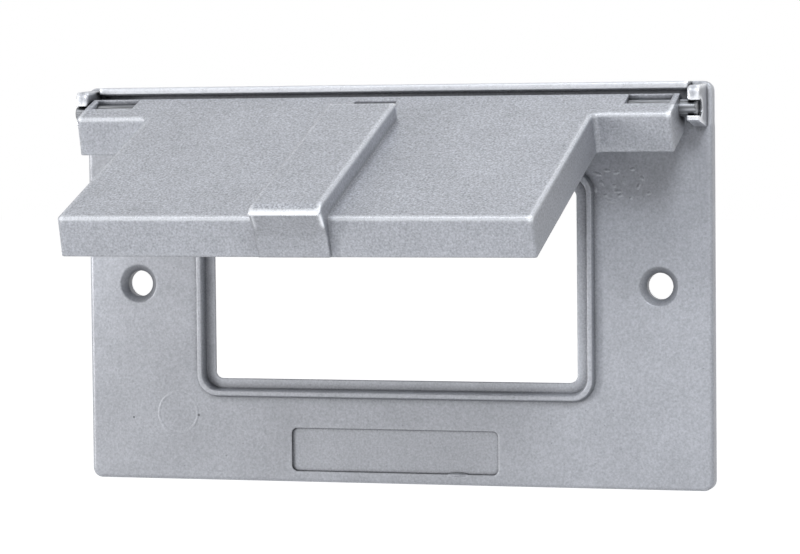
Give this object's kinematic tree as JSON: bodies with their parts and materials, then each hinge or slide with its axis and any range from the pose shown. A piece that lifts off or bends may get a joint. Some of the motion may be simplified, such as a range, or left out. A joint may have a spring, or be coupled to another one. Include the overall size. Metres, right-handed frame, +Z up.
{
  "type": "horizontal weather-resistant device cover plate",
  "caption": "Die-cast cover plate for a rectangular wiring device mounted on its side, with a flip lid hinged along its top edge and a foam gasket behind.",
  "frame": {"origin": "centre of the two-screw pattern, on the mounting plane at the back of the plate", "axes": "+X along the screw row, left to right as seen from the front; -Y out of the front face; +Z up towards the hinge"},
  "size_m": [0.116, 0.064, 0.0714],
  "materials": {
    "grey_casting": "die-cast and sprayed with a satin metallic grey paint",
    "pin_steel": "plain drawn steel wire",
    "gasket_foam": "closed-cell black foam sheet"
  },
  "bodies": {
    "plate": {"wall_plate": "grey_casting", "back_gasket": "gasket_foam"},
    "lid": {"flip_lid": "grey_casting", "hinge_pin_left": "pin_steel", "hinge_pin_right": "pin_steel"}
  },
  "joints": [
    {"name": "lid_hinge", "type": "hinge", "parent": "plate", "child": "lid", "pos_m": [0, -0.00825, 0.03107], "axis": [-1, 0, 0], "range_deg": [-69.1, 107.9]}
  ]
}
